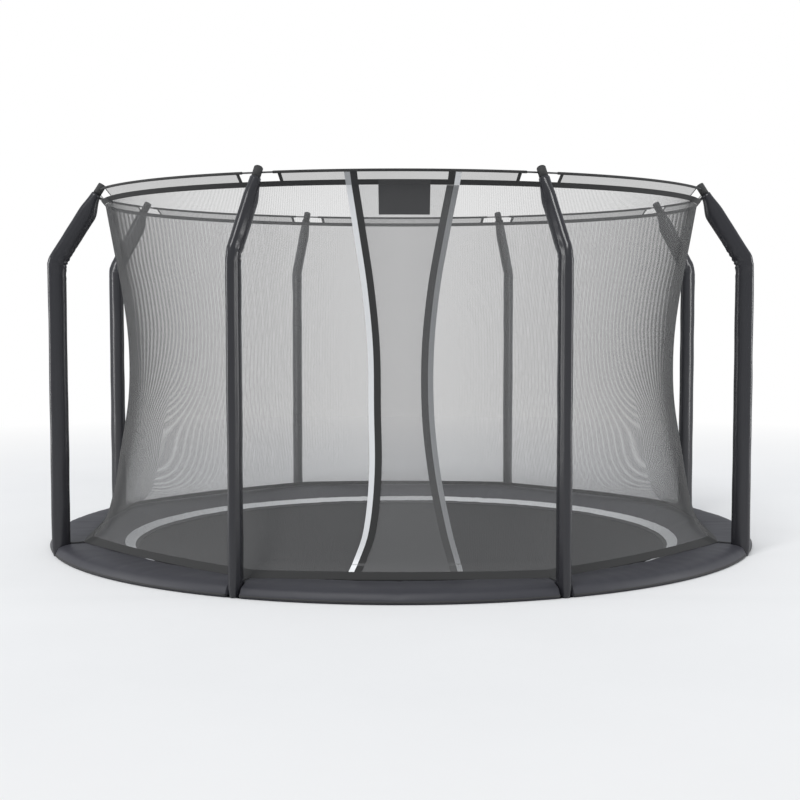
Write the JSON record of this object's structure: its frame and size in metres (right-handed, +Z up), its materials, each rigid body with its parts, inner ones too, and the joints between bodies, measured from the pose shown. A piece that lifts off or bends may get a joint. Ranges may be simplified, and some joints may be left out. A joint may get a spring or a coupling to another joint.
{
  "type": "trampoline",
  "caption": "Round sunken garden trampoline with padded poles, a waisted safety net with an overlap entrance and a sprung mat",
  "frame": {"origin": "on the axis, on the pit floor under the foot plates", "axes": "+Z up along the axis; -Y towards the entrance; +X to the right seen from the front"},
  "size_m": [3.75, 3.75, 2.0285],
  "materials": {
    "galvanised_steel": "galvanised, satin",
    "sleeve_vinyl": "gloss PVC over foam",
    "cap_plastic": "moulded",
    "rod_fibreglass": "satin",
    "bolt_steel": "zinc plated",
    "spring_steel": "zinc plated",
    "mat_fabric": "woven polypropylene",
    "pad_vinyl": "PVC coated cloth",
    "net_mesh": "open polyester mesh",
    "reflective_tape": "reflective webbing",
    "band_fabric": "woven",
    "webbing": "woven webbing",
    "label_fabric": "plain"
  },
  "bodies": {
    "frame": {"ring_segment_1": "galvanised_steel", "pole_lower_1": "galvanised_steel", "pole_upper_1": "galvanised_steel", "pole_sleeve_1": "sleeve_vinyl", "ring_segment_2": "galvanised_steel", "pole_lower_2": "galvanised_steel", "pole_upper_2": "galvanised_steel", "pole_sleeve_2": "sleeve_vinyl", "ring_segment_3": "galvanised_steel", "pole_lower_3": "galvanised_steel", "pole_upper_3": "galvanised_steel", "pole_sleeve_3": "sleeve_vinyl", "ring_segment_4": "galvanised_steel", "pole_lower_4": "galvanised_steel", "pole_upper_4": "galvanised_steel", "pole_sleeve_4": "sleeve_vinyl", "ring_segment_5": "galvanised_steel", "pole_lower_5": "galvanised_steel", "pole_upper_5": "galvanised_steel", "pole_sleeve_5": "sleeve_vinyl", "ring_segment_6": "galvanised_steel", "pole_lower_6": "galvanised_steel", "pole_upper_6": "galvanised_steel", "pole_sleeve_6": "sleeve_vinyl", "ring_segment_7": "galvanised_steel", "pole_lower_7": "galvanised_steel", "pole_upper_7": "galvanised_steel", "pole_sleeve_7": "sleeve_vinyl", "ring_segment_8": "galvanised_steel", "pole_lower_8": "galvanised_steel", "pole_upper_8": "galvanised_steel", "pole_sleeve_8": "sleeve_vinyl", "leg_1": "galvanised_steel", "leg_2": "galvanised_steel", "leg_3": "galvanised_steel", "leg_4": "galvanised_steel", "t_joints": "galvanised_steel", "pole_caps": "cap_plastic", "hoop_rods": "rod_fibreglass", "pole_clamps": "galvanised_steel", "clamp_bolts": "bolt_steel", "springs": "spring_steel", "safety_pad": "pad_vinyl", "net_panel_1": "net_mesh", "net_panel_2": "net_mesh", "net_panel_3": "net_mesh", "net_panel_4": "net_mesh", "net_panel_5": "net_mesh", "net_panel_6": "net_mesh", "net_panel_7": "net_mesh", "entrance_flap_outer": "net_mesh", "entrance_flap_inner": "net_mesh", "entrance_edges": "reflective_tape", "net_top_band": "band_fabric", "net_hem": "webbing", "net_straps": "webbing", "label_patch": "label_fabric"},
    "mat": {"jumping_mat": "mat_fabric", "mat_rings": "bolt_steel"}
  },
  "joints": [
    {"name": "mat_bounce", "type": "slide", "parent": "frame", "child": "mat", "axis": [0, 0, 1], "range_m": [-0.12, 0], "stiffness_N_per_m": 5000, "springref_m": 0.02, "deforming": ["springs"]}
  ]
}
